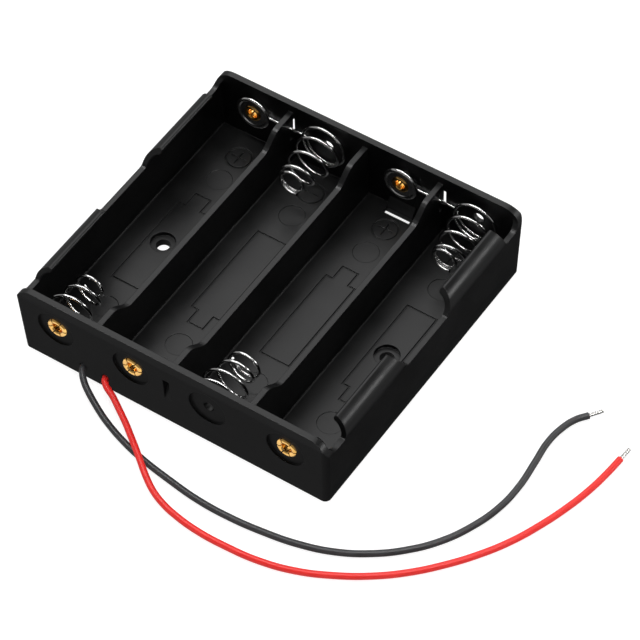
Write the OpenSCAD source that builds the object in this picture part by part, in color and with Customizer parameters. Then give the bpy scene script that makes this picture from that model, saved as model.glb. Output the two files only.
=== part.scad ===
// Open holder for four cylindrical cells in series, with two flying leads.
// A moulded tray carries conical spring contacts and pressed discs on brass eyelets.
// X runs across the bays, Y along the cells and Z up, in millimetres.
// The origin is the middle of the tray's underside.

/* [Cell bays] */
// Width of one bay
bay_d = 18.4; // [18:0.1:20]
// Length of a bay between the end walls
bay_l = 73.6; // [71:0.1:80]
// Radius of the corners between a bay's floor and its sides
bay_corner_r = 0.4; // [0.2:0.1:3]
// Thickness of the floor
floor_t = 1.2; // [0.8:0.1:1.6]

/* [Tray walls] */
// Height of the tray
body_h = 19.5; // [19.2:0.1:22]
// Thickness of the side walls and of their lips
side_t = 1.25; // [1:0.05:1.8]
// Thickness of the end walls at their widest
end_t = 1.9; // [1.6:0.1:2.5]
// Thickness of the dividers between bays
divider_t = 1.3; // [1:0.1:2]
// Thickness of the end walls at their foot
skirt_t = 1.2; // [0.8:0.1:1.5]
// Slope of the outer walls from upright
draft = 2; // [0:0.5:3]
// Radius of the rounded shoulders
shoulder_r = 4.4; // [3.5:0.1:5]
// Radius of the upright corners
corner_r = 1.5; // [0.8:0.1:2]
// Height of the bevel round the end walls' rim
rim_bevel_h = 1.8; // [1:0.1:2.5]
// Width of that bevel
rim_bevel_w = 0.45; // [0.2:0.05:0.8]

/* [Side lips] */
// Angle that a lip wraps over the cell, up from level
lip_angle = 70; // [50:1:80]
// Height of the side wall in the finger notch
notch_h = 14.7; // [13.5:0.1:15]
// Length of the level bottom of the finger notch
notch_l = 14.4; // [10:0.2:20]
// Length of the curved run from the notch up to a lip
notch_run = 4.4; // [3:0.1:6]
// Height of the side wall in the dip between a lip and an end wall
dip_h = 15.2; // [14:0.1:16]
// Distance from the end wall to the far side of that dip
dip_l = 5.2; // [4.5:0.1:7]
// Length of the curved run from the dip up to a lip
dip_run = 2; // [1:0.1:3]
// Radius where the dip meets the end wall
dip_r = 2.9; // [2:0.1:3.5]

/* [Dividers] */
// Height of the dividers in the middle
divider_low = 14; // [12.5:0.1:15]
// Height of the dividers at the end walls
divider_high = 17.4; // [16:0.1:18.5]
// Length of the high part at each end
divider_end_l = 5.3; // [3:0.1:9]
// Length of the curved run between the two heights
divider_run = 6.5; // [4:0.1:9]
// Depth of a wire slot's bottom under the contacts, at the outer face
slot_drop = 5.3; // [4:0.1:7]
// Depth of that bottom at the inner face
slot_sill = 0.6; // [0:0.1:3]
// Height of a wire slot's top over the contacts, at the outer face
slot_rise = 2.1; // [1:0.1:2.5]
// Further rise of that top at the inner face
slot_flare = 1.3; // [0.2:0.1:1.8]
// Width of a wire slot
wire_slot_w = 1.6; // [1:0.1:2]
// Distance of the second and third wire slots from their dividers' centres
wire_slot_shift = 0.6; // [0:0.1:0.9]
// Depth of the window in the divider where the wire crosses
window_l = 1.6; // [1.2:0.1:2.5]
// Depth of that window's sill under the contacts
window_drop = 2.6; // [1:0.1:4]

/* [Contact seats] */
// Diameter of the eyelet holes
eyelet_hole_d = 3.2; // [3.1:0.1:4]
// Diameter of the holes that take no eyelet
bare_hole_d = 2.6; // [2:0.1:4]
// Diameter of the round recess outside each contact
recess_d = 9.4; // [8:0.1:10]
// Thickness of the wall left inside the recess
web_t = 1.1; // [0.7:0.05:1.4]
// Length of the tail slots in the floor, across the bay
tail_slot_w = 6.9; // [6:0.1:9]
// Width of the tail slots, along the bay
tail_slot_l = 1.45; // [1:0.05:2]
// Distance from a tail slot to the end wall
tail_slot_gap = 1.65; // [1.2:0.05:2.5]
// Height of the ramp behind a tail slot over the floor, at the wall
ramp_rise = 2.4; // [1.2:0.1:2.5]
// Height of that ramp over the floor, at the slot
ramp_toe = 0.3; // [0.1:0.05:0.6]

/* [Screw holes] */
// Diameter of the two mounting screw holes
screw_d = 3.2; // [2.5:0.1:4]
// Diameter of the counterbore for the screw head
screw_head_d = 5.8; // [5:0.1:7]
// Depth of the counterbore
screw_head_h = 1; // [0.6:0.1:1.4]
// Diameter of the boss under each screw hole
boss_d = 8; // [7.5:0.1:10]

/* [Floor marks] */
// Width of the engraved lines
line_w = 0.35; // [0.2:0.05:0.6]
// Depth of the engraved lines
line_depth = 0.25; // [0.1:0.05:0.4]
// Width of the engraved cell outline
cell_mark_w = 7.5; // [5:0.1:10]
// Length of the engraved cell outline without its tip
cell_mark_l = 25.6; // [15:0.2:30]
// Width and length of the tip of the outline
cell_tip = 4; // [2:0.1:5]
// Distance of the outline's flat end from the middle of the bay
cell_mark_start = 14; // [6:0.5:16]
// Diameter of the circles round the plus and minus signs
sign_d = 5.9; // [4:0.1:6.2]
// Length of a sign's strokes
sign_l = 3.6; // [2:0.1:5]
// Distance of the signs from the middle of the bay
sign_y = 29.6; // [28:0.1:30]
// Diameter of the round ejector marks
ejector_d = 6; // [4:0.1:8]
// Depth of the ejector marks
ejector_depth = 0.15; // [0.1:0.05:0.3]
// Distance of the ejector marks from the middle of the bay
ejector_y = 21.8; // [20:0.1:23]

/* [Spring wire] */
// Diameter of the spring wire
wire_d = 0.8; // [0.6:0.05:0.9]
// Radius of a spring's widest turns, to the middle of the wire
coil_r = 5.5; // [4.5:0.05:6.2]
// Radius of a spring's free end
coil_tip_r = 3.5; // [2.5:0.05:5]
// Height of a jumper's spring, between its end turns' centre lines
coil_h = 13.9; // [10:0.1:16]
// Number of turns in a jumper's spring
coil_turns = 5; // [4:0.25:6]
// Height of the first bay's front spring
lone_coil_h = 11; // [9:0.1:16]
// Number of turns in the first bay's front spring
lone_coil_turns = 4.5; // [4:0.25:6]
// Share of the turns that stays at the full radius
coil_straight = 0.35; // [0:0.05:0.6]
// Share by which the end turns are closed up
coil_closing = 0.3; // [0:0.05:0.7]
// Radius of the bends in a jumper wire
wire_bend_r = 1; // [0.7:0.1:1.5]

/* [Discs and eyelets] */
// Diameter of a contact disc
disc_d = 8.8; // [8:0.1:10]
// Thickness of the sheet metal of a disc
disc_t = 0.3; // [0.2:0.05:0.4]
// Width of the raised bead round a disc
bead_w = 1.1; // [0.8:0.1:1.4]
// Outer diameter of an eyelet's barrel
barrel_d = 3; // [2.6:0.1:3.1]
// Bore of an eyelet
bore_d = 2.4; // [1.6:0.1:2.5]
// Diameter of the rolled flange inside the bay
flange_d = 4.3; // [4:0.1:5]
// Height of that flange
flange_h = 0.35; // [0.25:0.05:0.5]
// Diameter of the split flare outside the wall
flare_d = 5.1; // [4.5:0.1:6]
// Height of the flare
flare_h = 0.45; // [0.3:0.05:0.6]
// Number of splits in the flare
flare_splits = 6; // [4:1:8]
// Width of each split
split_w = 0.25; // [0.2:0.05:0.5]

/* [Solder lugs] */
// Thickness of a lug
lug_t = 0.4; // [0.3:0.05:0.5]
// Diameter of a lug's ring
lug_d = 6; // [5:0.1:7]
// Width of a lug's tail
tail_w = 5; // [3:0.1:6]
// Height of the tail's end above the underside
tail_end_h = 0.3; // [0.1:0.05:0.6]
// Diameter of the solder on a tail
solder_d = 1.5; // [1.3:0.05:1.5]
// Distance of the solder's middle from the tail's face
solder_offset = 0.55; // [0.3:0.05:0.65]

/* [Leads] */
// Diameter of a lead's insulation
lead_d = 1.5; // [1.2:0.05:1.5]
// Diameter of the tinned conductor
core_d = 0.8; // [0.5:0.05:1]
// Length of the tinned tip
tip_l = 3.5; // [2:0.1:8]
// Gap above and below a lead under the floor
lead_gap = 0.1; // [0.1:0.05:0.3]
// Diameter of the two lead holes
lead_hole_d = 1.9; // [1.7:0.05:2.1]
// Height of the lead holes above the underside
lead_hole_h = 3.6; // [3.4:0.1:3.8]
// Length of the duct from under the floor to a lead hole's wall
duct_l = 5.5; // [5.3:0.1:6.5]
// Thickness of the ducts' roof and sides
duct_t = 0.8; // [0.6:0.1:1]
// Distance of the black lead's hole from the first divider
black_offset = 3.6; // [3.4:0.1:3.8]
// Distance of the red lead's hole from the first divider
red_offset = 2.3; // [2.1:0.1:2.5]

/* [Hidden] */
$fn = 96;

BAYS = [1, 2, 3, 4];
over = 1;

bay_r = bay_d/2;
pitch = bay_d + divider_t;
body_w = len(BAYS)*bay_d + (len(BAYS) - 1)*divider_t + 2*side_t;
body_l = bay_l + 2*end_t;
pan_h = lead_d + 2*lead_gap;
floor_z = pan_h + floor_t;
axis_h = floor_z + bay_r;

shoulder_x = body_w/2 - shoulder_r;
shoulder_z = body_h - shoulder_r;
bevel_z = body_h - rim_bevel_h;
rim_l = body_l - 2*rim_bevel_w;
foot_w = body_w - 2*shoulder_z*tan(draft);
foot_l = body_l - 2*bevel_z*tan(draft);
pan_w = foot_w - 2*side_t;
pan_l = foot_l - 2*skirt_t;
corner_bite = 0.02;
corner_lean = atan(sqrt(2)*tan(draft));

wall_y = bay_l/2;
seat_y = wall_y + web_t;
ramp_y = wall_y - tail_slot_gap;
ramp_high = floor_z + ramp_rise;
ramp_low = floor_z + ramp_toe;
slot_low = axis_h - slot_drop;
slot_high = axis_h + slot_rise;
duct_y = wall_y - duct_l;
dip_slant = 15;
window_extra = 1;

outer_bay = len(BAYS);
EYELETS_BACK = [1, 3];
EYELETS_FRONT = [1, 2, 4];
BARE_BACK = [2, 4];
BARE_FRONT = [3];
TAIL_BACK = [3];
curve_steps = 10;

wire_r = wire_d/2;
wire_sides = 8;
turn_steps = 20;
bend_steps = 4;
eyelet_gap = 0.05;
eye_r = barrel_d/2 + eyelet_gap + wire_r;
eye_turn = 0.8;
eye_spiral = 0.6;
bead_r = disc_d/2 - bead_w/2;
disc_hole_d = barrel_d + 2*eyelet_gap;

black_hole_x = divider_x(1) - black_offset;
red_hole_x = divider_x(1) + red_offset;
LEAD_HOLES = [black_hole_x, red_hole_x];
tail_face_y = ramp_y - lug_t;
solder_z = pan_h/2;
solder_y = tail_face_y - solder_offset;
lead_start_y = -33;
lead_sides = 8;

// Route of the black lead's centre line, from its solder joint to its bare tip
BLACK_ROUTE = [
    [bay_x(1), lead_start_y, solder_z],
    [bay_x(1), -31.1, 0.85], [-28.6, -28.9, 0.85], [-26.4, -28, 0.85], [-24.2, -28.9, 0.85],
    [black_hole_x, -31.2, 0.86], [black_hole_x, -32.6, 1.4], [black_hole_x, -34.2, 2.4],
    [black_hole_x, -35.8, 3.3], [black_hole_x, -37.4, lead_hole_h],
    [-23.1, -38.6, 3.6], [-22.2, -40, 3.4], [-20.7, -41.4, 2.9], [-18.8, -42.6, 2.3],
    [-16.7, -43.7, 1.7], [-14.4, -44.8, 1.1], [-12, -45.9, 0.8], [-5.5, -48.4, 0.8],
    [0.5, -50, 0.8], [8.5, -51.4, 0.8], [16.5, -52.4, 0.8], [24.5, -52.5, 0.8],
    [32.5, -51.8, 0.8], [40.5, -50.4, 0.8], [48, -47.9, 0.8], [54.5, -44.2, 0.8],
    [60, -39.6, 0.8], [64.8, -33.8, 0.8], [68.3, -27, 0.8], [70.4, -20, 0.8],
    [71, -13, 0.8], [70.5, -6, 0.8], [70, 0, 0.8], [70.5, 4.5, 0.8],
    [71.8, 8.3, 0.8], [73.6, 10.8, 0.8]
];

// Route of the red lead's centre line, from its solder joint to its bare tip
RED_ROUTE = [
    [bay_x(4), lead_start_y, solder_z],
    [bay_x(4), -31.1, 0.85], [28.6, -28.9, 0.85], [26.4, -28, 0.85], [13, -28, 0.85],
    [0, -28, 0.85], [-14.4, -28, 0.85], [-16.5, -28.9, 0.85],
    [red_hole_x, -31.2, 0.86], [red_hole_x, -32.6, 1.4], [red_hole_x, -34.2, 2.4],
    [red_hole_x, -35.8, 3.3], [red_hole_x, -37.3, lead_hole_h],
    [-17.3, -38.4, 3.6], [-16.4, -39.6, 3.5], [-13.2, -41.3, 3.1], [-9.9, -43.4, 2.8],
    [-7, -45.3, 2.6], [-4.3, -47.3, 2.5], [-1.5, -49.4, 2.45], [1.2, -51.5, 2.35],
    [4.2, -53.8, 2], [7.6, -55.9, 1.4], [11, -57.2, 0.9], [14.5, -58.1, 0.8],
    [21, -59, 0.8], [28.5, -59, 0.8], [36, -58.3, 0.8], [43.5, -56.4, 0.8],
    [51, -53, 0.8], [57.6, -48.9, 0.8], [63.3, -44.2, 0.8], [68.6, -38.5, 0.8],
    [73.2, -32.4, 0.8], [77, -26, 0.8], [79.9, -19.3, 0.8], [82.2, -12.5, 0.8],
    [83.8, -6, 0.8], [84.7, 0, 0.8], [85.1, 4.5, 0.8]
];

// Places

function bay_x(n) = (n - (len(BAYS) + 1)/2)*pitch;
function divider_x(n) = bay_x(n) + pitch/2;

// Carries a contact's own frame, with its Z out of the wall, to the back wall
module at_back(n) translate([bay_x(n), wall_y, axis_h]) rotate([90, 0, 0]) children();

module at_front(n) translate([bay_x(n), -wall_y, axis_h]) rotate([90, 0, 180]) children();

// The same wire turned over, so that its run still leads from left to right
module at_front_flipped(n) translate([bay_x(n), -wall_y, axis_h]) rotate([-90, 0, 0]) children();

module along_x(l) rotate([90, 0, 90]) linear_extrude(l, center = true) children();

module along_y(l) rotate([90, 0, 0]) linear_extrude(l, center = true) children();

module mirrored_y() {
    children();
    mirror([0, 1, 0]) children();
}

// Repeats a back wall's feature in the bays listed for each end wall
module in_bays(back, front) {
    for (n = back) translate([bay_x(n), 0, 0]) children();
    for (n = front) translate([bay_x(n), 0, 0]) mirror([0, 1, 0]) children();
}

// Curves

function s_curve(p, q) = [
    for (i = [0:curve_steps])
        [p[0] + (q[0] - p[0])*i/curve_steps, p[1] + (q[1] - p[1])*(1 - cos(180*i/curve_steps))/2]
];

function arc(c, r, a0, a1) = [
    for (i = [0:curve_steps])
        let (a = a0 + (a1 - a0)*i/curve_steps) c + r*[cos(a), sin(a)]
];

// Tray, outside

module shoulder(side) {
    intersection() {
        translate([side*shoulder_x, shoulder_z]) circle(shoulder_r);
        translate([side*(shoulder_x + shoulder_r/2), shoulder_z + shoulder_r/2])
            square(shoulder_r, center = true);
    }
}

module cross_outline() {
    polygon([
        [-foot_w/2, 0], [foot_w/2, 0], [body_w/2, shoulder_z], [shoulder_x, body_h],
        [-shoulder_x, body_h], [-body_w/2, shoulder_z]
    ]);
    for (side = [-1, 1]) shoulder(side);
}

module side_outline() {
    polygon([
        [-foot_l/2, 0], [foot_l/2, 0], [body_l/2, bevel_z], [rim_l/2, body_h],
        [-rim_l/2, body_h], [-body_l/2, bevel_z]
    ]);
}

module corner_cut() {
    inset = corner_r - corner_bite;
    translate([foot_w/2, foot_l/2, 0]) rotate(a = corner_lean, v = [-1, 1, 0])
        translate([-inset, -inset, -over]) linear_extrude(body_h + 2*over)
            difference() {
                square(corner_r + over);
                circle(corner_r);
            }
}

module tray_block() {
    difference() {
        intersection() {
            along_y(body_l) cross_outline();
            along_x(body_w) side_outline();
        }
        for (side = [0, 1]) mirror([side, 0, 0]) mirrored_y() corner_cut();
    }
}

// Tray, inside

module lip_outline(side) {
    lip_mid_r = shoulder_r - side_t/2;
    reach = 2*shoulder_r;
    translate([side*shoulder_x, shoulder_z]) mirror([side < 0 ? 1 : 0, 0]) {
        intersection() {
            difference() {
                circle(shoulder_r);
                circle(shoulder_r - side_t);
            }
            polygon([
                [0, 0], [reach, 0], [reach, reach], reach*[cos(lip_angle), sin(lip_angle)]
            ]);
        }
        translate(lip_mid_r*[cos(lip_angle), sin(lip_angle)]) circle(side_t/2);
    }
}

module bay_outline() {
    flat_w = bay_d - 2*bay_corner_r;
    translate([-flat_w/2, floor_z]) square([flat_w, body_h]);
    translate([-bay_r, floor_z + bay_corner_r]) square([bay_d, body_h]);
    for (side = [-1, 1]) translate([side*flat_w/2, floor_z + bay_corner_r]) circle(bay_corner_r);
}

// Cross-section of the room for the cells, open at the top between the lips
module bays_outline() {
    difference() {
        for (n = BAYS) translate([bay_x(n), 0]) bay_outline();
        for (side = [-1, 1]) lip_outline(side);
    }
}

module divider_cut() {
    end_y = wall_y - divider_end_l;
    half = concat(
        s_curve([end_y - divider_run, divider_low], [end_y, divider_high]),
        [[wall_y, divider_high], [wall_y, body_h + over]]
    );
    along_x((len(BAYS) - 2)*pitch + bay_d)
        polygon(concat(half, [for (i = [len(half) - 1:-1:0]) [-half[i][0], half[i][1]]]));
}

module notch_cut() {
    half = concat(
        s_curve([notch_l/2, notch_h], [notch_l/2 + notch_run, body_h]),
        [[notch_l/2 + notch_run, body_h + over]]
    );
    polygon(concat(half, [for (i = [len(half) - 1:-1:0]) [-half[i][0], half[i][1]]]));
}

module dip_cut() {
    far_y = wall_y - dip_l;
    polygon(concat(
        [[far_y - dip_run, body_h + over]],
        s_curve([far_y - dip_run, body_h], [far_y, dip_h]),
        arc([wall_y - dip_r*cos(dip_slant), dip_h + dip_r], dip_r, -90, -dip_slant),
        [[wall_y, body_h + over]]
    ));
}

// Shapes the top edge of both side walls and leaves two lips on each
module side_wall_cuts() {
    for (side = [-1, 1]) translate([side*(body_w/2 - bay_r/2), 0, 0]) {
        along_x(bay_r + over) notch_cut();
        mirrored_y() along_x(bay_r + over) dip_cut();
    }
}

// Room under the floor for tails and leads, which leaves a skirt and the screw bosses
module underside_cut() {
    difference() {
        translate([-pan_w/2, -pan_l/2, -over]) cube([pan_w, pan_l, pan_h + over]);
        for (n = [1, outer_bay]) translate([bay_x(n), 0, -2*over]) cylinder(d = boss_d, h = floor_z + 2*over);
    }
}

module screw_cut() {
    translate([0, 0, -over]) cylinder(d = screw_d, h = axis_h);
    translate([0, 0, floor_z - screw_head_h]) cylinder(d = screw_head_d, h = axis_h);
}

// Hole through an end wall, with a round recess outside
module contact_cut(hole_d) {
    translate([0, wall_y - over, axis_h]) rotate([-90, 0, 0]) cylinder(d = hole_d, h = end_t + 2*over);
    translate([0, seat_y, axis_h]) rotate([-90, 0, 0]) cylinder(d = recess_d, h = end_t);
}

module tail_slot_cut() {
    translate([-tail_slot_w/2, ramp_y - tail_slot_l, -over]) cube([tail_slot_w, tail_slot_l, axis_h/2]);
}

module ramp() {
    along_x(tail_slot_w) polygon([
        [ramp_y, floor_z - floor_t/2], [wall_y + end_t/4, floor_z - floor_t/2],
        [wall_y + end_t/4, ramp_high], [wall_y, ramp_high], [ramp_y, ramp_low]
    ]);
}

// Slot through the end wall and the window that it leaves in the divider
module wire_slot_cut(n, shift) {
    translate([divider_x(n) + shift, 0, 0]) along_x(wire_slot_w) polygon([
        [wall_y - over, axis_h - slot_sill], [wall_y, axis_h - slot_sill],
        [body_l/2, slot_low], [body_l/2 + over, slot_low],
        [body_l/2 + over, slot_high], [body_l/2, slot_high],
        [wall_y, slot_high + slot_flare], [wall_y - over, slot_high + slot_flare]
    ]);
    translate([divider_x(n) - divider_t/2 - over, wall_y - window_l, axis_h - window_drop])
        cube([divider_t + 2*over, window_l, window_drop + slot_rise + slot_flare]);
}

// Duct that brings a lead up from under the floor, through the front wall
module duct(x) {
    w = lead_hole_d + 2*duct_t;
    top = lead_hole_h + lead_hole_d/2 + duct_t;
    translate([x - w/2, -wall_y - end_t/4, floor_z - floor_t/2])
        cube([w, duct_l + duct_t + end_t/4, top - floor_z + floor_t/2]);
}

module lead_hole(x) {
    translate([x, -duct_y, lead_hole_h]) rotate([90, 0, 0])
        cylinder(d = lead_hole_d, h = body_l/2 - duct_y + over);
    translate([x - lead_hole_d/2, -pan_l/2, -over])
        cube([lead_hole_d, pan_l/2 - duct_y, lead_hole_h + over]);
}

// Floor marks

module engraved(depth) translate([0, 0, floor_z - depth]) linear_extrude(depth + over) children();

module stroke(p, q) {
    low = [min(p[0], q[0]), min(p[1], q[1])];
    high = [max(p[0], q[0]), max(p[1], q[1])];
    translate(low - [line_w, line_w]/2) square(high - low + [line_w, line_w]);
}

module cell_outline() {
    start = -cell_mark_start;
    end = start + cell_mark_l;
    path = [
        [-cell_mark_w/2, start], [cell_mark_w/2, start], [cell_mark_w/2, end], [cell_tip/2, end],
        [cell_tip/2, end + cell_tip], [-cell_tip/2, end + cell_tip], [-cell_tip/2, end],
        [-cell_mark_w/2, end]
    ];
    for (i = [0:len(path) - 1]) stroke(path[i], path[(i + 1) % len(path)]);
}

module minus_mark() {
    difference() {
        circle(d = sign_d + line_w);
        circle(d = sign_d - line_w);
    }
    square([sign_l, line_w], center = true);
}

module plus_mark() {
    minus_mark();
    square([line_w, sign_l], center = true);
}

module floor_marks() {
    for (n = BAYS) translate([bay_x(n), 0, 0]) mirror([0, n % 2 == 0 ? 1 : 0, 0]) {
        engraved(line_depth) {
            cell_outline();
            translate([0, sign_y]) plus_mark();
            translate([0, -sign_y]) minus_mark();
        }
        mirrored_y() engraved(ejector_depth) translate([0, ejector_y]) circle(d = ejector_d);
    }
}

module tray() color("#26262a") difference() {
    union() {
        difference() {
            tray_block();
            along_y(bay_l) bays_outline();
            divider_cut();
            side_wall_cuts();
            underside_cut();
        }
        in_bays(TAIL_BACK, BAYS) ramp();
        for (x = LEAD_HOLES) duct(x);
    }
    in_bays(EYELETS_BACK, EYELETS_FRONT) contact_cut(eyelet_hole_d);
    in_bays(BARE_BACK, BARE_FRONT) contact_cut(bare_hole_d);
    in_bays(TAIL_BACK, BAYS) tail_slot_cut();
    wire_slot_cut(1, 0);
    mirror([0, 1, 0]) wire_slot_cut(2, -wire_slot_shift);
    wire_slot_cut(3, wire_slot_shift);
    for (x = LEAD_HOLES) lead_hole(x);
    for (n = [1, outer_bay]) translate([bay_x(n), 0, 0]) screw_cut();
    floor_marks();
}

// Wires swept along a path

function unit(v) = v/norm(v);

function heading(path, i) = unit(path[min(i + 1, len(path) - 1)] - path[max(i - 1, 0)]);

function ring(p, t, axis, r, sides) =
    let (u = unit(cross(t, axis)), v = cross(t, u))
    [for (k = [0:sides - 1]) p + r*(cos(360*k/sides)*u + sin(360*k/sides)*v)];

// Round wire of diameter d whose path never runs along axis
module wire(path, d, axis, sides) {
    rings = len(path);
    polyhedron(
        points = [for (i = [0:rings - 1]) each ring(path[i], heading(path, i), axis, d/2, sides)],
        faces = concat(
            [[for (k = [0:sides - 1]) k]],
            [for (i = [0:rings - 2], k = [0:sides - 1]) let (a = i*sides, b = (k + 1) % sides)
                [a + k, a + sides + k, a + sides + b, a + b]],
            [[for (k = [sides - 1:-1:0]) (rings - 1)*sides + k]]
        )
    );
}

// Spring shape

function coil_rise(u) = u - coil_closing*sin(360*u)/(2*PI);

function coil_radius(u) = coil_r - (coil_r - coil_tip_r)*max(0, (u - coil_straight)/(1 - coil_straight));

// Points of a coil that starts at angle a0, with its wire's centre z0 above the wall
function coil(a0, z0, turns, height) = [
    for (i = [0:turns*turn_steps])
        let (u = i/(turns*turn_steps), a = a0 + 360*turns*u)
        [coil_radius(u)*cos(a), coil_radius(u)*sin(a), z0 + height*coil_rise(u)]
];

// Eye round an eyelet, a run to the next bay and a coil there, in one wire
function jumper_path() =
    let (
        leave = asin(wire_bend_r/(eye_r + wire_bend_r)),
        join = asin(wire_bend_r/(coil_r + wire_bend_r)),
        eye_bend = [(eye_r + wire_bend_r)*cos(leave), wire_bend_r],
        coil_bend = [pitch - (coil_r + wire_bend_r)*cos(join), -wire_bend_r]
    )
    concat(
        [for (i = [eye_turn*turn_steps:-1:1]) let (a = leave + 360*i/turn_steps)
            [eye_r*cos(a), eye_r*sin(a), wire_r]],
        [for (i = [0:bend_steps]) let (a = 180 + leave + (90 - leave)*i/bend_steps)
            [eye_bend[0] + wire_bend_r*cos(a), eye_bend[1] + wire_bend_r*sin(a), wire_r]],
        [for (i = [0:bend_steps]) let (a = 90 - (90 - join)*i/(bend_steps + 1))
            [coil_bend[0] + wire_bend_r*cos(a), coil_bend[1] + wire_bend_r*sin(a), wire_r]],
        [for (p = coil(180 + join, wire_r, coil_turns, coil_h)) p + [pitch, 0, 0]]
    );

// Eye round the eyelet, a spiral out to the full radius and the coil
function spring_path(z0) =
    let (
        eye = [for (i = [0:eye_turn*turn_steps]) [eye_r, 360*i/turn_steps]],
        out = [for (i = [1:eye_spiral*turn_steps - 1])
            [eye_r + (coil_r - eye_r)*i/(eye_spiral*turn_steps), 360*(eye_turn + i/turn_steps)]]
    )
    concat(
        [for (p = concat(eye, out)) [p[0]*cos(p[1]), p[0]*sin(p[1]), z0]],
        coil(360*(eye_turn + eye_spiral), z0, lone_coil_turns, lone_coil_h)
    );

module jumper_wire() color("#c9cbd0") wire(jumper_path(), wire_d, [0, 0, 1], wire_sides);

module spring_bay_1() color("#c9cbd0") at_front(1)
    wire(spring_path(lug_t + wire_r), wire_d, [0, 0, 1], wire_sides);

module jumper_spring_1_2() at_back(1) jumper_wire();

module jumper_spring_2_3() at_front_flipped(2) jumper_wire();

module jumper_spring_3_4() at_back(3) jumper_wire();

// Pressed disc with a raised bead, its plate lying on a seat above the wall
module disc(seat) color("#d3d5d9") translate([0, 0, seat]) rotate_extrude() {
    translate([disc_hole_d/2, 0]) square([bead_r - bead_w/2 + disc_t/2 - disc_hole_d/2, disc_t]);
    translate([bead_r, 0]) intersection() {
        difference() {
            circle(bead_w/2);
            circle(bead_w/2 - disc_t);
        }
        translate([-bead_w, 0]) square([2*bead_w, bead_w]);
    }
}

module disc_bay_1() at_back(1) disc(wire_d);

module disc_bay_2() at_front(2) disc(wire_d);

module disc_bay_3() at_back(3) disc(wire_d);

module disc_bay_4() at_front(4) disc(lug_t);

// Rolled edge between two radii, h high, as part of a round section
module rolled(r0, r1, h) {
    w = r1 - r0;
    r = (w*w/4 + h*h)/(2*h);
    intersection() {
        translate([(r0 + r1)/2, h - r]) circle(r);
        translate([r0 - over, 0]) square([w + 2*over, h + over]);
    }
}

// Brass eyelet through the wall, with its flange clamping what lies under seat
module eyelet(seat) color("#c08a3e") difference() {
    rotate_extrude() {
        translate([bore_d/2, -web_t]) square([(barrel_d - bore_d)/2, web_t + seat]);
        translate([0, seat]) rolled(bore_d/2, flange_d/2, flange_h);
        translate([0, -web_t]) mirror([0, 1]) rolled(bore_d/2, flare_d/2, flare_h);
    }
    for (i = [0:flare_splits - 1]) rotate(360*i/flare_splits)
        translate([barrel_d/2 - split_w, -split_w/2, -web_t - 2*flare_h])
            cube([flare_d/2, split_w, 2*flare_h]);
}

module eyelet_spring_1() at_front(1) eyelet(lug_t + wire_d);

module eyelet_disc_1() at_back(1) eyelet(wire_d + disc_t);

module eyelet_disc_2() at_front(2) eyelet(wire_d + disc_t);

module eyelet_disc_3() at_back(3) eyelet(wire_d + disc_t);

module eyelet_disc_4() at_front(4) eyelet(lug_t + disc_t);

// Lug under a front contact, its tail bent down the ramp and out through the floor
module lug(n) color("#cfd1d4") difference() {
    union() {
        at_front(n) cylinder(d = lug_d, h = lug_t);
        translate([bay_x(n), 0, 0]) mirror([0, 1, 0]) along_x(tail_w) polygon([
            [wall_y, axis_h], [wall_y, ramp_high], [ramp_y, ramp_low], [ramp_y, tail_end_h],
            [tail_face_y, tail_end_h], [tail_face_y, ramp_low], [wall_y - lug_t, ramp_high],
            [wall_y - lug_t, axis_h]
        ]);
    }
    at_front(n) translate([0, 0, -over]) cylinder(d = disc_hole_d, h = lug_t + 2*over);
}

module lug_black() lug(1);

module lug_red() lug(outer_bay);

// Solder on a tail's face, with the end of the conductor in it
module solder(n) color("#b9bcc2") translate([bay_x(n), 0, solder_z]) {
    intersection() {
        translate([0, -solder_y, 0]) sphere(d = solder_d);
        translate([-solder_d, -tail_face_y, -solder_d]) cube(2*solder_d);
    }
    translate([0, lead_start_y, 0]) rotate([90, 0, 0]) cylinder(d = core_d, h = solder_y + lead_start_y);
}

module solder_black() solder(1);

module solder_red() solder(outer_bay);

// Leads

module tip(route) {
    last = route[len(route) - 1];
    along = heading(route, len(route) - 1);
    translate(last) rotate([0, 90, atan2(along[1], along[0])]) cylinder(d = core_d, h = tip_l);
}

module black_lead() color("#333338") wire(BLACK_ROUTE, lead_d, [0, 0, 1], lead_sides);

module red_lead() color("#d8282a") wire(RED_ROUTE, lead_d, [0, 0, 1], lead_sides);

module black_lead_tip() color("#d0d2d6") tip(BLACK_ROUTE);

module red_lead_tip() color("#d0d2d6") tip(RED_ROUTE);

tray();
spring_bay_1();
jumper_spring_1_2();
jumper_spring_2_3();
jumper_spring_3_4();
disc_bay_1();
disc_bay_2();
disc_bay_3();
disc_bay_4();
eyelet_spring_1();
eyelet_disc_1();
eyelet_disc_2();
eyelet_disc_3();
eyelet_disc_4();
lug_black();
lug_red();
solder_black();
solder_red();
black_lead();
red_lead();
black_lead_tip();
red_lead_tip();
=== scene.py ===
import math

import bmesh
import bpy
from mathutils import Matrix, Vector


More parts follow.
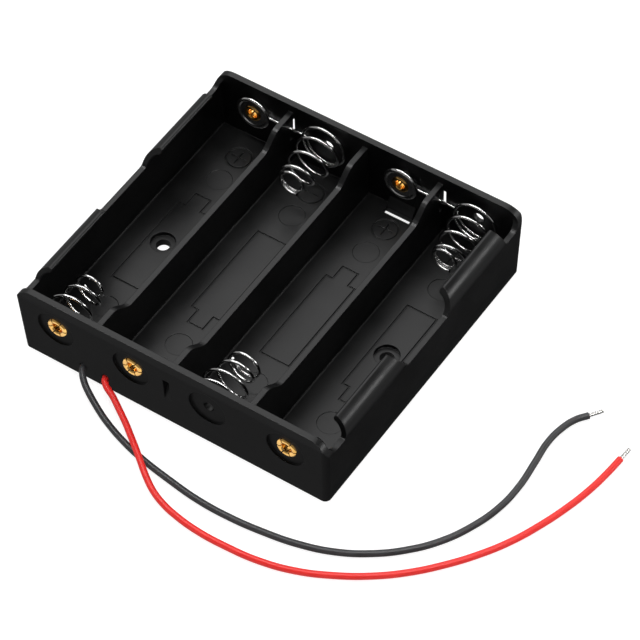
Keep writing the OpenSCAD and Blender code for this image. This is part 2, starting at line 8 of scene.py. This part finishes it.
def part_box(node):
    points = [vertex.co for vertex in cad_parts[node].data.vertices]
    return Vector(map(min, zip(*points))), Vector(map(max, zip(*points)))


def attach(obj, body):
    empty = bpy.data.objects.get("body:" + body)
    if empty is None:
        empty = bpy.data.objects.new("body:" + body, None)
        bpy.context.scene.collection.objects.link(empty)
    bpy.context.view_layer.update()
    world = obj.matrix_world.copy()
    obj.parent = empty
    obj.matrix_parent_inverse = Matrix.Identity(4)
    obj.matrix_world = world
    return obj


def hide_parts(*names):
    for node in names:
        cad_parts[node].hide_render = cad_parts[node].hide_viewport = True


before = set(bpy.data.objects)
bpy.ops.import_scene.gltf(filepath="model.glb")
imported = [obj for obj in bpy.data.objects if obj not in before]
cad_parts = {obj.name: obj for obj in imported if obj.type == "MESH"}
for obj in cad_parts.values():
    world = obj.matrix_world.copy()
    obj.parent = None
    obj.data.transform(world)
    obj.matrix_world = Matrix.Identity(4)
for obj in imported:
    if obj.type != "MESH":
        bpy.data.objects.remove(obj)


def write_size():
    """Brings the scene's placements up to date."""
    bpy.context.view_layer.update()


write_size()

MM = 0.001


def mm(*values):
    """A point given in millimetres."""
    return Vector(values) * MM


# The camera, at the photograph's viewing angle

AZIMUTH = math.radians(35.367)
ELEVATION = math.radians(50.794)
ROLL = math.radians(-2.045)
VIEWPOINT = mm(284.51, -383.57, 579.93)
SENSOR_W = 36
FOCAL_L = 193.3
NEAREST = 0.01
FARTHEST = 20
FORWARD = Vector((
    -math.sin(AZIMUTH) * math.cos(ELEVATION),
    math.cos(AZIMUTH) * math.cos(ELEVATION),
    -math.sin(ELEVATION),
))


def make_camera():
    """Looks forward from the viewpoint, rolled a little about its own axis."""
    level = FORWARD.cross(Vector((0, 0, 1))).normalized()
    upright = level.cross(FORWARD)
    right = math.cos(ROLL) * level + math.sin(ROLL) * upright
    up = -math.sin(ROLL) * level + math.cos(ROLL) * upright
    data = bpy.data.cameras.new("camera")
    data.sensor_width = SENSOR_W
    data.lens = FOCAL_L
    data.clip_start = NEAREST
    data.clip_end = FARTHEST
    camera = bpy.data.objects.new("camera", data)
    turn = Matrix((right, up, -FORWARD)).transposed().to_4x4()
    camera.matrix_world = Matrix.Translation(VIEWPOINT) @ turn
    bpy.context.collection.objects.link(camera)
    bpy.context.scene.camera = camera


make_camera()


# Round wires and leads, as curves


def new_curve(name, diameter, rounding):
    """An empty curve that is a round rod; rounding sets how many sides it has."""
    data = bpy.data.curves.new(name, "CURVE")
    data.dimensions = "3D"
    data.bevel_depth = diameter / 2
    data.bevel_resolution = rounding
    data.use_fill_caps = True
    return data


def add_piece(name, data, nodes, material):
    """A piece in place of CAD nodes, which hides them, hung under the root body, with its own material."""
    piece = bpy.data.objects.new(name, data)
    data.materials.append(material)
    bpy.context.collection.objects.link(piece)
    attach(piece, "root")
    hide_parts(*nodes)
    return piece


def smooth_line(data, points, steps):
    """One open spline that runs smoothly through the points."""
    data.resolution_u = steps
    spline = data.splines.new("BEZIER")
    spline.bezier_points.add(len(points) - 1)
    for knot, point in zip(spline.bezier_points, points):
        knot.co = point
        knot.handle_left_type = "AUTO"
        knot.handle_right_type = "AUTO"


def fine_line(data, points):
    """One open spline of straight steps, for points that lie close together."""
    spline = data.splines.new("POLY")
    spline.points.add(len(points) - 1)
    for knot, point in zip(spline.points, points):
        knot.co = (*point, 1)


# Shader helpers


def add_node(tree, kind, **settings):
    """A shader node with its settings."""
    node = tree.nodes.new(kind)
    for name, value in settings.items():
        setattr(node, name, value)
    return node


def noise(tree, scale, detail=3, roughness=0.5):
    """Noise fixed to the object, with its scale per metre."""
    coords = add_node(tree, "ShaderNodeTexCoord")
    node = add_node(tree, "ShaderNodeTexNoise")
    node.inputs["Scale"].default_value = scale
    node.inputs["Detail"].default_value = detail
    node.inputs["Roughness"].default_value = roughness
    tree.links.new(coords.outputs["Object"], node.inputs["Vector"])
    return node.outputs["Fac"]


def spread(tree, value, low, high, start=0.3, end=0.7):
    """Maps a noise value from start..end to low..high."""
    node = add_node(tree, "ShaderNodeMapRange", clamp=True)
    node.inputs["From Min"].default_value = start
    node.inputs["From Max"].default_value = end
    node.inputs["To Min"].default_value = low
    node.inputs["To Max"].default_value = high
    tree.links.new(value, node.inputs["Value"])
    return node.outputs["Result"]


def blend(tree, factor, first, second):
    """Goes from the first colour to the second as the factor goes from 0 to 1."""
    node = add_node(tree, "ShaderNodeMix", data_type="RGBA")
    tree.links.new(factor, node.inputs["Factor"])
    node.inputs["A"].default_value = (*first, 1)
    node.inputs["B"].default_value = (*second, 1)
    return node.outputs["Result"]


def bump(tree, height, depth, normal=None):
    """Makes a height look as deep as depth, on top of another normal if one is given."""
    node = add_node(tree, "ShaderNodeBump")
    node.inputs["Strength"].default_value = 1
    node.inputs["Distance"].default_value = depth
    tree.links.new(height, node.inputs["Height"])
    if normal:
        tree.links.new(normal, node.inputs["Normal"])
    return node.outputs["Normal"]


def rounded_edges(tree, radius):
    """A normal that makes sharp edges look rounded."""
    node = add_node(tree, "ShaderNodeBevel", samples=6)
    node.inputs["Radius"].default_value = radius
    return node.outputs["Normal"]


def new_material(name):
    """A material with its node tree and its shader."""
    material = bpy.data.materials.new(name)
    material.use_nodes = True
    tree = material.node_tree
    return material, tree, tree.nodes["Principled BSDF"]


# Materials

MOULD_COLOURS = ((0.0024, 0.0024, 0.0026), (0.0036, 0.0036, 0.0038))
MOULD_ROUGHNESS = (0.28, 0.43)
MOULD_SPECULAR = 0.42
MOULD_EDGE = 0.22 * MM
STREAK_DEPTH = 0.012 * MM
GRAIN_DEPTH = 0.004 * MM
PLATING_DEPTH = 0.0012 * MM
# The roughness of polished and of scratched plating, as shares of the metal's own
PLATING_SHARES = (0.85, 1.25)
INSULATION_ROUGHNESS = (0.34, 0.48)
INSULATION_SCATTER = 0.05
INSULATION_SCATTER_L = 0.3 * MM
WAVE_DEPTH = 0.02 * MM


def moulded_black():
    """Satin black moulding: faint grain, flow streaks, polished patches and soft edges."""
    material, tree, shader = new_material("moulded_black")
    patches = noise(tree, scale=90, detail=5, roughness=0.6)
    streaks = noise(tree, scale=700, detail=4, roughness=0.65)
    grain = noise(tree, scale=5200, detail=2)
    colour = blend(tree, spread(tree, patches, 0, 1), *MOULD_COLOURS)
    tree.links.new(colour, shader.inputs["Base Color"])
    tree.links.new(spread(tree, patches, *MOULD_ROUGHNESS), shader.inputs["Roughness"])
    shader.inputs["Specular IOR Level"].default_value = MOULD_SPECULAR
    edges = rounded_edges(tree, MOULD_EDGE)
    rough = bump(tree, streaks, STREAK_DEPTH, edges)
    tree.links.new(bump(tree, grain, GRAIN_DEPTH, rough), shader.inputs["Normal"])
    return material


def plated(name, colour, dull, rough, edge=0.0):
    """Plated metal: bright, with fine drawing marks and slightly duller patches."""
    material, tree, shader = new_material(name)
    patches = noise(tree, scale=420, detail=4)
    marks = noise(tree, scale=3800, detail=2)
    polished, scratched = (rough * share for share in PLATING_SHARES)
    tree.links.new(blend(tree, spread(tree, patches, 0, 1), dull, colour), shader.inputs["Base Color"])
    tree.links.new(spread(tree, marks, polished, scratched), shader.inputs["Roughness"])
    shader.inputs["Metallic"].default_value = 1
    normal = rounded_edges(tree, edge) if edge else None
    tree.links.new(bump(tree, patches, PLATING_DEPTH, normal), shader.inputs["Normal"])
    return material


def insulation(name, colour, deep):
    """Smooth insulation with a soft sheen and slight waves from its drawing."""
    material, tree, shader = new_material(name)
    patches = noise(tree, scale=240, detail=3)
    waves = noise(tree, scale=900, detail=2)
    tree.links.new(blend(tree, spread(tree, patches, 0, 1), deep, colour), shader.inputs["Base Color"])
    tree.links.new(spread(tree, patches, *INSULATION_ROUGHNESS), shader.inputs["Roughness"])
    shader.inputs["Subsurface Weight"].default_value = INSULATION_SCATTER
    shader.inputs["Subsurface Scale"].default_value = INSULATION_SCATTER_L
    tree.links.new(bump(tree, waves, WAVE_DEPTH), shader.inputs["Normal"])
    return material


BLACK = moulded_black()
NICKEL_WIRE = plated("nickel_wire", (0.80, 0.80, 0.79), (0.66, 0.66, 0.66), rough=0.14)
NICKEL_SHEET = plated(
    "nickel_sheet", (0.84, 0.84, 0.83), (0.70, 0.70, 0.70), rough=0.20, edge=0.08 * MM,
)
TINNED = plated("tinned_copper", (0.83, 0.82, 0.80), (0.66, 0.64, 0.61), rough=0.24)
SOLDER = plated("solder", (0.74, 0.74, 0.75), (0.55, 0.55, 0.57), rough=0.22)
BRASS = plated("brass", (0.90, 0.56, 0.18), (0.72, 0.38, 0.09), rough=0.20, edge=0.06 * MM)
BLACK_PVC = insulation("black_insulation", (0.045, 0.045, 0.048), (0.030, 0.030, 0.032))
RED_PVC = insulation("red_insulation", (0.93, 0.030, 0.024), (0.88, 0.022, 0.018))


# The leads, which run under the floor from their solder joints to their holes, then lie on the table

LEAD_D = 1.5 * MM
CORE_D = 0.8 * MM
TIP_L = 3.5 * MM
OUTER_STRANDS = 6
STRAND_D = CORE_D / 3.1
STRAND_TURNS = 0.9
STRAND_STEPS = 16
# How far short of the tip's end the strands are cut: the middle one, the longest of the others, and
# the step from one of those to the next shorter one
MIDDLE_CUT = 0.1 * MM
LEAST_CUT = 0.05 * MM
CUT_STEP = 0.07 * MM

BLACK_ROUTE = [mm(*p) for p in (
    (-29.55, -33, 0.85), (-29.55, -31.1, 0.85), (-28.6, -28.9, 0.85), (-26.4, -28, 0.85),
    (-24.2, -28.9, 0.85), (-23.3, -31.2, 0.86), (-23.3, -32.6, 1.4), (-23.3, -34.2, 2.4),
    (-23.3, -35.8, 3.3), (-23.3, -37.4, 3.6), (-23.1, -38.6, 3.6), (-22.2, -40, 3.4),
    (-20.7, -41.4, 2.9), (-18.8, -42.6, 2.3), (-16.7, -43.7, 1.7), (-14.4, -44.8, 1.1),
    (-12, -45.9, 0.8), (-5.5, -48.4, 0.8), (0.5, -50, 0.8), (8.5, -51.4, 0.8),
    (16.5, -52.4, 0.8), (24.5, -52.5, 0.8), (32.5, -51.8, 0.8), (40.5, -50.4, 0.8),
    (48, -47.9, 0.8), (54.5, -44.2, 0.8), (60, -39.6, 0.8), (64.8, -33.8, 0.8),
    (68.3, -27, 0.8), (70.4, -20, 0.8), (71, -13, 0.8), (70.5, -6, 0.8),
    (70, 0, 0.8), (70.5, 4.5, 0.8), (71.8, 8.3, 0.8), (73.6, 10.8, 0.8),
)]
RED_ROUTE = [mm(*p) for p in (
    (29.55, -33, 0.85), (29.55, -31.1, 0.85), (28.6, -28.9, 0.85), (26.4, -28, 0.85),
    (13, -28, 0.85), (0, -28, 0.85), (-14.4, -28, 0.85), (-16.5, -28.9, 0.85),
    (-17.4, -31.2, 0.86), (-17.4, -32.6, 1.4), (-17.4, -34.2, 2.4), (-17.4, -35.8, 3.3),
    (-17.4, -37.3, 3.6), (-17.3, -38.4, 3.6), (-16.4, -39.6, 3.5), (-13.2, -41.3, 3.1),
    (-9.9, -43.4, 2.8), (-7, -45.3, 2.6), (-4.3, -47.3, 2.5), (-1.5, -49.4, 2.45),
    (1.2, -51.5, 2.35), (4.2, -53.8, 2), (7.6, -55.9, 1.4), (11, -57.2, 0.9),
    (14.5, -58.1, 0.8), (21, -59, 0.8), (28.5, -59, 0.8), (36, -58.3, 0.8),
    (43.5, -56.4, 0.8), (51, -53, 0.8), (57.6, -48.9, 0.8), (63.3, -44.2, 0.8),
    (68.6, -38.5, 0.8), (73.2, -32.4, 0.8), (77, -26, 0.8), (79.9, -19.3, 0.8),
    (82.2, -12.5, 0.8), (83.8, -6, 0.8), (84.7, 0, 0.8), (85.1, 4.5, 0.8),
)]


def strands(name, route, node):
    """The tinned conductor: one strand with others twisted round it, cut a little unevenly."""
    start = route[-1]
    along = (route[-1] - route[-2]).normalized()
    side = along.cross(Vector((0, 0, 1))).normalized()
    over = side.cross(along)
    ring = (CORE_D - STRAND_D) / 2
    data = new_curve(name, STRAND_D, rounding=2)
    fine_line(data, [start, start + along * (TIP_L - MIDDLE_CUT)])
    for k in range(OUTER_STRANDS):
        length = TIP_L - LEAST_CUT - CUT_STEP * ((k * 5) % OUTER_STRANDS)
        points = []
        for i in range(STRAND_STEPS + 1):
            share = i / STRAND_STEPS
            angle = 2 * math.pi * (k / OUTER_STRANDS + STRAND_TURNS * share)
            offset = ring * (math.cos(angle) * side + math.sin(angle) * over)
            points.append(start + along * length * share + offset)
        fine_line(data, points)
    return add_piece(name, data, [node], TINNED)


def lead(name, route, material):
    """A lead from its solder joint to its bare end, with its strands."""
    data = new_curve(name, LEAD_D, rounding=6)
    smooth_line(data, route, steps=6)
    piece = add_piece(name + "_cord", data, [name], material)
    piece.visible_glossy = False
    tip = strands(name + "_strands", route, name + "_tip")


lead("black_lead", BLACK_ROUTE, BLACK_PVC)
lead("red_lead", RED_ROUTE, RED_PVC)


# The springs: each is one wire with an eye and a coil, and a jumper has a run between the two

WIRE_D = 0.7 * MM
EYE_R = 1.95 * MM
COIL_R = 5.5 * MM
BEND_R = 1.0 * MM
LUG_T = 0.4 * MM
EYE_TURN = 0.8  # the part of a turn that an eye takes
EYE_SPIRAL = 0.6  # the turns in which the spring of bay 1 widens from its eye to its coil
SETTLE = 0.6  # the turns in which a coil moves aside to its shift
STEPS = 40  # the steps in a turn
BEND_STEPS = 8  # the steps in a bend

# Each coil's shape: turns since its start, radius and rise in millimetres, rounded from a fit of its
# curve to the photographed coil
COIL_BACK_2 = (
    (0, 5.5, 0), (0.25, 5.3, 0.4), (0.75, 5.6, 1.0), (1.25, 4.9, 1.6), (1.75, 5.0, 3.8), (2.25, 4.8, 5.0),
    (2.75, 4.45, 8.0), (3.25, 3.85, 9.2), (3.75, 3.8, 12.2), (4.25, 3.0, 13.0), (4.75, 2.8, 13.3),
    (5.3, 3.2, 13.8),
)
COIL_BACK_4 = (
    (0, 5.5, 0), (0.25, 5.2, 0.5), (0.75, 5.3, 1.5), (1.25, 4.75, 2.0), (1.75, 4.5, 4.7), (2.25, 4.5, 5.8),
    (2.75, 3.8, 8.8), (3.25, 3.8, 9.7), (3.75, 3.1, 12.7), (4.25, 2.9, 13.1), (4.75, 2.4, 13.5),
    (5.3, 3.3, 13.9),
)
COIL_FRONT_3 = (
    (0, 5.5, 0), (0.225, 5.3, 1.5), (0.725, 5.0, 3.1), (1.225, 5.15, 4.8), (1.725, 4.3, 6.9),
    (2.225, 3.9, 8.9), (2.725, 3.3, 10.6), (3.225, 3.65, 11.8), (3.725, 3.5, 12.1), (3.95, 3.5, 12.3),
)
COIL_FRONT_1 = (
    (0, 5.5, 0), (0.35, 5.4, 0.9), (0.85, 4.6, 3.5), (1.35, 4.0, 5.9), (1.85, 3.85, 7.4), (2.35, 3.7, 10.1),
    (2.85, 3.1, 11.1), (3.35, 2.9, 11.5), (3.5, 2.9, 11.7),
)

PITCH = (Vector(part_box("disc_bay_3")[0]) - Vector(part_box("disc_bay_1")[0])).x / 2
AXIS_H = (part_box("disc_bay_1")[0][2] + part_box("disc_bay_1")[1][2]) / 2
BACK_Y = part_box("jumper_spring_1_2")[1][1]
FRONT_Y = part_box("jumper_spring_2_3")[0][1]


def bay_x(n):
    """The middle of a bay, counted from 1 at the left."""
    return (n - 2.5) * PITCH


def along_table(table, turn):
    """Radius and rise at a turn, on a smooth cubic curve through the table's rows."""
    last = len(table) - 1
    row = max(i for i in range(last) if table[i][0] <= turn or i == 0)
    before, low, high, after = (
        table[min(max(i, 0), last)] for i in (row - 1, row, row + 1, row + 2)
    )
    width = high[0] - low[0]
    u = (turn - low[0]) / width
    values = []
    for column in (1, 2):
        slope_low = width * (high[column] - before[column]) / (high[0] - before[0])
        slope_high = width * (after[column] - low[column]) / (after[0] - low[0])
        values.append(
            (2 * u**3 - 3 * u**2 + 1) * low[column] + (u**3 - 2 * u**2 + u) * slope_low
            + (3 * u**2 - 2 * u**3) * high[column] + (u**3 - u**2) * slope_high
        )
    return values


def on_ring(x, y, radius, angle, height):
    """A point on a flat ring round x, y."""
    return Vector((x + radius * math.cos(angle), y + radius * math.sin(angle), height))


def coil(start, lift, table, shift=(0, 0), lean=(0, 0)):
    """A coil that narrows to its free end, set aside by shift and leaning by lean for each turn."""
    points = []
    turns = table[-1][0]
    count = round(turns * STEPS)
    for i in range(count + 1):
        turn = turns * i / count
        angle = start + 2 * math.pi * turn
        radius, rise = along_table(table, turn)
        settled = 1 - max(0, 1 - turn / SETTLE) ** 2
        points.append(mm(
            radius * math.cos(angle) + shift[0] * settled + lean[0] * turn,
            radius * math.sin(angle) + shift[1] * settled + lean[1] * turn,
            rise + lift / MM,
        ))
    return points


def jumper_path(table, shift):
    """Eye round an eyelet, a run to the next bay with a bend at each end, and a coil there."""
    leave = math.asin(BEND_R / (EYE_R + BEND_R))
    join = math.asin(BEND_R / (COIL_R + BEND_R))
    level = WIRE_D / 2
    eye_x = (EYE_R + BEND_R) * math.cos(leave)
    coil_x = PITCH - (COIL_R + BEND_R) * math.cos(join)
    points = []
    for i in range(round(EYE_TURN * STEPS), 0, -1):
        points.append(on_ring(0, 0, EYE_R, leave + 2 * math.pi * i / STEPS, level))
    for i in range(BEND_STEPS + 1):
        angle = math.pi + leave + (math.pi / 2 - leave) * i / BEND_STEPS
        points.append(on_ring(eye_x, BEND_R, BEND_R, angle, level))
    # This bend stops a step short, because the coil's own first point ends it
    for i in range(BEND_STEPS + 1):
        angle = math.pi / 2 - (math.pi / 2 - join) * i / (BEND_STEPS + 1)
        points.append(on_ring(coil_x, -BEND_R, BEND_R, angle, level))
    across = Vector((PITCH, 0, 0))
    return points + [p + across for p in coil(math.pi + join, level, table, shift)]


def spring_path(lift, table, lean):
    """Eye round an eyelet, a spiral out to the full radius and the coil."""
    points = []
    for i in range(round(EYE_TURN * STEPS) + 1):
        points.append(on_ring(0, 0, EYE_R, 2 * math.pi * i / STEPS, lift))
    count = round(EYE_SPIRAL * STEPS)
    for i in range(1, count):
        angle = 2 * math.pi * (EYE_TURN + i / STEPS)
        points.append(on_ring(0, 0, EYE_R + (COIL_R - EYE_R) * i / count, angle, lift))
    return points + coil(2 * math.pi * (EYE_TURN + EYE_SPIRAL), lift, table, lean=lean)


def at_back(n):
    """Carries a contact's own frame, with its Z out of the wall, to the back wall."""
    return Matrix.Translation((bay_x(n), BACK_Y, AXIS_H)) @ Matrix.Rotation(math.pi / 2, 4, "X")


def at_front(n):
    """The same for the front wall."""
    turn = Matrix.Rotation(math.pi, 4, "Z") @ Matrix.Rotation(math.pi / 2, 4, "X")
    return Matrix.Translation((bay_x(n), FRONT_Y, AXIS_H)) @ turn


def at_front_flipped(n):
    """The same, upside down, so that a jumper runs towards the higher bays."""
    return Matrix.Translation((bay_x(n), FRONT_Y, AXIS_H)) @ Matrix.Rotation(-math.pi / 2, 4, "X")


def spring(node, place, path):
    """One wire along a path, in place of its CAD node."""
    data = new_curve(node, WIRE_D, rounding=4)
    fine_line(data, [place @ p for p in path])
    add_piece(node + "_wire", data, [node], NICKEL_WIRE)


spring("spring_bay_1", at_front(1), spring_path(LUG_T + WIRE_D / 2, COIL_FRONT_1, lean=(0.2, 0.1)))
spring("jumper_spring_1_2", at_back(1), jumper_path(COIL_BACK_2, shift=(-0.5, 0.5)))
spring("jumper_spring_2_3", at_front_flipped(2), jumper_path(COIL_FRONT_3, shift=(0, 0)))
spring("jumper_spring_3_4", at_back(3), jumper_path(COIL_BACK_4, shift=(0, 0.1)))


# The other CAD nodes keep their shape and get the finish of their kind

FINISHES = {
    "tray": BLACK,
    "disc": NICKEL_SHEET,
    "lug": NICKEL_SHEET,
    "eyelet": BRASS,
    "solder": SOLDER,
}


def dress_nodes():
    """Sets the materials by the first word of each node's name."""
    for name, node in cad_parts.items():
        kind = name.split("_")[0]
        if kind in FINISHES:
            node.data.materials.clear()
            node.data.materials.append(FINISHES[kind])


dress_nodes()


# The floor and the backdrop, in metres

FLOOR_HALF = 1.5
FLOOR_GLOW = 0.86
FLOOR_GREY = 0.3
BACKDROP_R = 6
BACKDROP_GLOW = 1.0
STAGE_ROUGHNESS = 0.8


def stage_material(name, glow, grey):
    """A flat pale material that glows a little."""
    material, _, shader = new_material(name)
    shader.inputs["Base Color"].default_value = (grey, grey, grey, 1)
    shader.inputs["Roughness"].default_value = STAGE_ROUGHNESS
    shader.inputs["Specular IOR Level"].default_value = 0
    shader.inputs["Emission Color"].default_value = (1, 1, 1, 1)
    shader.inputs["Emission Strength"].default_value = glow
    return material


def stage_object(name, mesh, material):
    """A part of the stage, which shows in no reflection."""
    mesh.materials.append(material)
    thing = bpy.data.objects.new(name, mesh)
    bpy.context.collection.objects.link(thing)
    thing.visible_glossy = False
    return thing


def make_floor():
    """The table top, at the height of the tray's foot."""
    mesh = bpy.data.meshes.new("floor")
    corners = [(x * FLOOR_HALF, y * FLOOR_HALF, 0) for x, y in ((-1, -1), (1, -1), (1, 1), (-1, 1))]
    mesh.from_pydata(corners, [], [(0, 1, 2, 3)])
    stage_object("floor", mesh, stage_material("pale_floor", FLOOR_GLOW, FLOOR_GREY))


def make_backdrop():
    """A pale sphere round the stage, which only the camera sees."""
    mesh = bpy.data.meshes.new("backdrop")
    form = bmesh.new()
    bmesh.ops.create_uvsphere(form, u_segments=48, v_segments=24, radius=BACKDROP_R)
    form.to_mesh(mesh)
    form.free()
    backdrop = stage_object("backdrop", mesh, stage_material("pale_backdrop", BACKDROP_GLOW, 0))
    backdrop.visible_diffuse = False
    backdrop.visible_transmission = False
    backdrop.visible_shadow = False


# The lights, in metres and watts, and the dim room round them

# Each light's name, place, size and power
LIGHTS = (
    ("soft_box", (-0.51, 0.72, 1.08), (1.4, 1.4), 9.4),
    ("top_strip", (0, -0.05, 1.4), (2.4, 0.16), 18),
    ("side_box", (1.05, 0.72, 0.55), (0.3, 0.3), 3),
)
AIM = (0, 0, 0.01)
TABLE_GLOW_AT = (0, -0.058, 0.0004)
TABLE_GLOW_SIZE = (0.1, 0.036)
TABLE_GLOW = 1.0

# The pale walls of the room, whose glow fades out between these two steepnesses of the direction
WALL_GLOW = 0.27
WALL_FADE = (0.5, 0.66)
# The directions that the holder's front wall and right wall mirror to the camera
FRONT_MIRRORS = (FORWARD.x, -FORWARD.y, FORWARD.z)
RIGHT_MIRRORS = (-FORWARD.x, FORWARD.y, FORWARD.z)
# Each soft glow's axis, how near to it the glow starts and is full, and its strength
SOFT_GLOWS = (
    ((0, 0, 1), -0.1, 0.3, 0.045),
    (FRONT_MIRRORS, 0.3, 0.95, 0.12),
    (RIGHT_MIRRORS, 0.3, 0.95, 0.028),
)


def area_light(name, spot, size, power, aim=AIM):
    """A white panel of light that faces its aim."""
    data = bpy.data.lights.new(name, "AREA")
    data.shape = "RECTANGLE"
    data.size, data.size_y = size
    data.energy = power
    light = bpy.data.objects.new(name, data)
    light.location = spot
    light.rotation_euler = (Vector(aim) - Vector(spot)).to_track_quat("-Z", "Y").to_euler()
    bpy.context.collection.objects.link(light)
    return light


def make_table_glow():
    """The pale table as the brass mirrors it, because the floor itself shows in no reflection."""
    width, depth = TABLE_GLOW_SIZE
    power = math.pi * width * depth * TABLE_GLOW
    overhead = (*TABLE_GLOW_AT[:2], 1)
    panel = area_light("table_glow", TABLE_GLOW_AT, TABLE_GLOW_SIZE, power, overhead)
    panel.visible_camera = False
    brass = bpy.data.collections.new("brass_pieces")
    for name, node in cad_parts.items():
        if name.startswith("eyelet"):
            brass.objects.link(node)
    panel.light_linking.receiver_collection = brass


def nearness(tree, direction, axis):
    """How near a direction is to an axis, from -1 to 1."""
    node = add_node(tree, "ShaderNodeVectorMath", operation="DOT_PRODUCT")
    tree.links.new(direction, node.inputs[0])
    node.inputs[1].default_value = axis
    return node.outputs["Value"]


def calculate(tree, operation, *values):
    """One calculation with one or two values."""
    node = add_node(tree, "ShaderNodeMath", operation=operation)
    for value, socket in zip(values, node.inputs):
        tree.links.new(value, socket)
    return node.outputs["Value"]


def make_world():
    """The room: pale walls and the soft glows, as a function of the direction alone."""
    world = bpy.data.worlds.new("studio")
    world.use_nodes = True
    tree = world.node_tree
    background = tree.nodes["Background"].inputs
    direction = add_node(tree, "ShaderNodeTexCoord").outputs["Generated"]
    steepness = calculate(tree, "ABSOLUTE", nearness(tree, direction, (0, 0, 1)))
    total = spread(tree, steepness, WALL_GLOW, 0, *WALL_FADE)
    for axis, start, full, strength in SOFT_GLOWS:
        glow = spread(tree, nearness(tree, direction, axis), 0, strength, start, full)
        total = calculate(tree, "ADD", total, glow)
    background["Color"].default_value = (1, 1, 1, 1)
    tree.links.new(total, background["Strength"])
    bpy.context.scene.world = world


make_floor()
make_backdrop()
make_world()
for name, spot, size, power in LIGHTS:
    area_light(name, spot, size, power)
make_table_glow()
bpy.context.scene.view_settings.view_transform = "Standard"

write_size()
